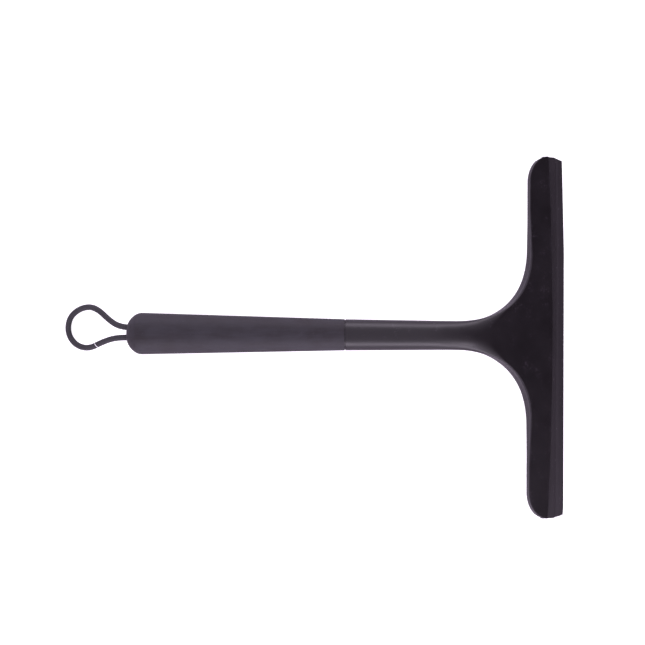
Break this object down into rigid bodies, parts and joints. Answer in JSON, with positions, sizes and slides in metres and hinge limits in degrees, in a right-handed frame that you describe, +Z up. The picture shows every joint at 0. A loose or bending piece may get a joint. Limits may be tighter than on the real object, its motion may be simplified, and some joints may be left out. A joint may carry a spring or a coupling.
{
  "type": "window cleaning squeegee",
  "caption": "T-shaped window squeegee: round neck, soft tapered grip, rubber blade that slides out of the head, and a cord loop to hang it by.",
  "frame": {"origin": "on the surface that the squeegee lies on, under the middle of its body, the cord loop not counted", "axes": "+X along the handle towards the blade, +Y across the head, +Z up, out of the head's face; the squeegee lies face up on its grip and its lip"},
  "size_m": [0.3311, 0.24, 0.0285],
  "materials": {
    "moulding": "satin black, fine moulded skin",
    "soft_grip": "matte, soft touch",
    "core_plastic": "matte, as moulded",
    "blade_rubber": "matte extruded rubber",
    "cord_rubber": "satin"
  },
  "bodies": {
    "handle": {"head_and_neck": "moulding", "handle_core": "core_plastic", "grip_sleeve": "soft_grip", "cord_anchor": "core_plastic", "hanging_cord": "cord_rubber"},
    "blade": {"squeegee_blade": "blade_rubber"}
  },
  "joints": [
    {"name": "blade_slide", "type": "slide", "parent": "handle", "child": "blade", "axis": [0, 1, 0], "range_m": [-0.23, 0.23]}
  ]
}
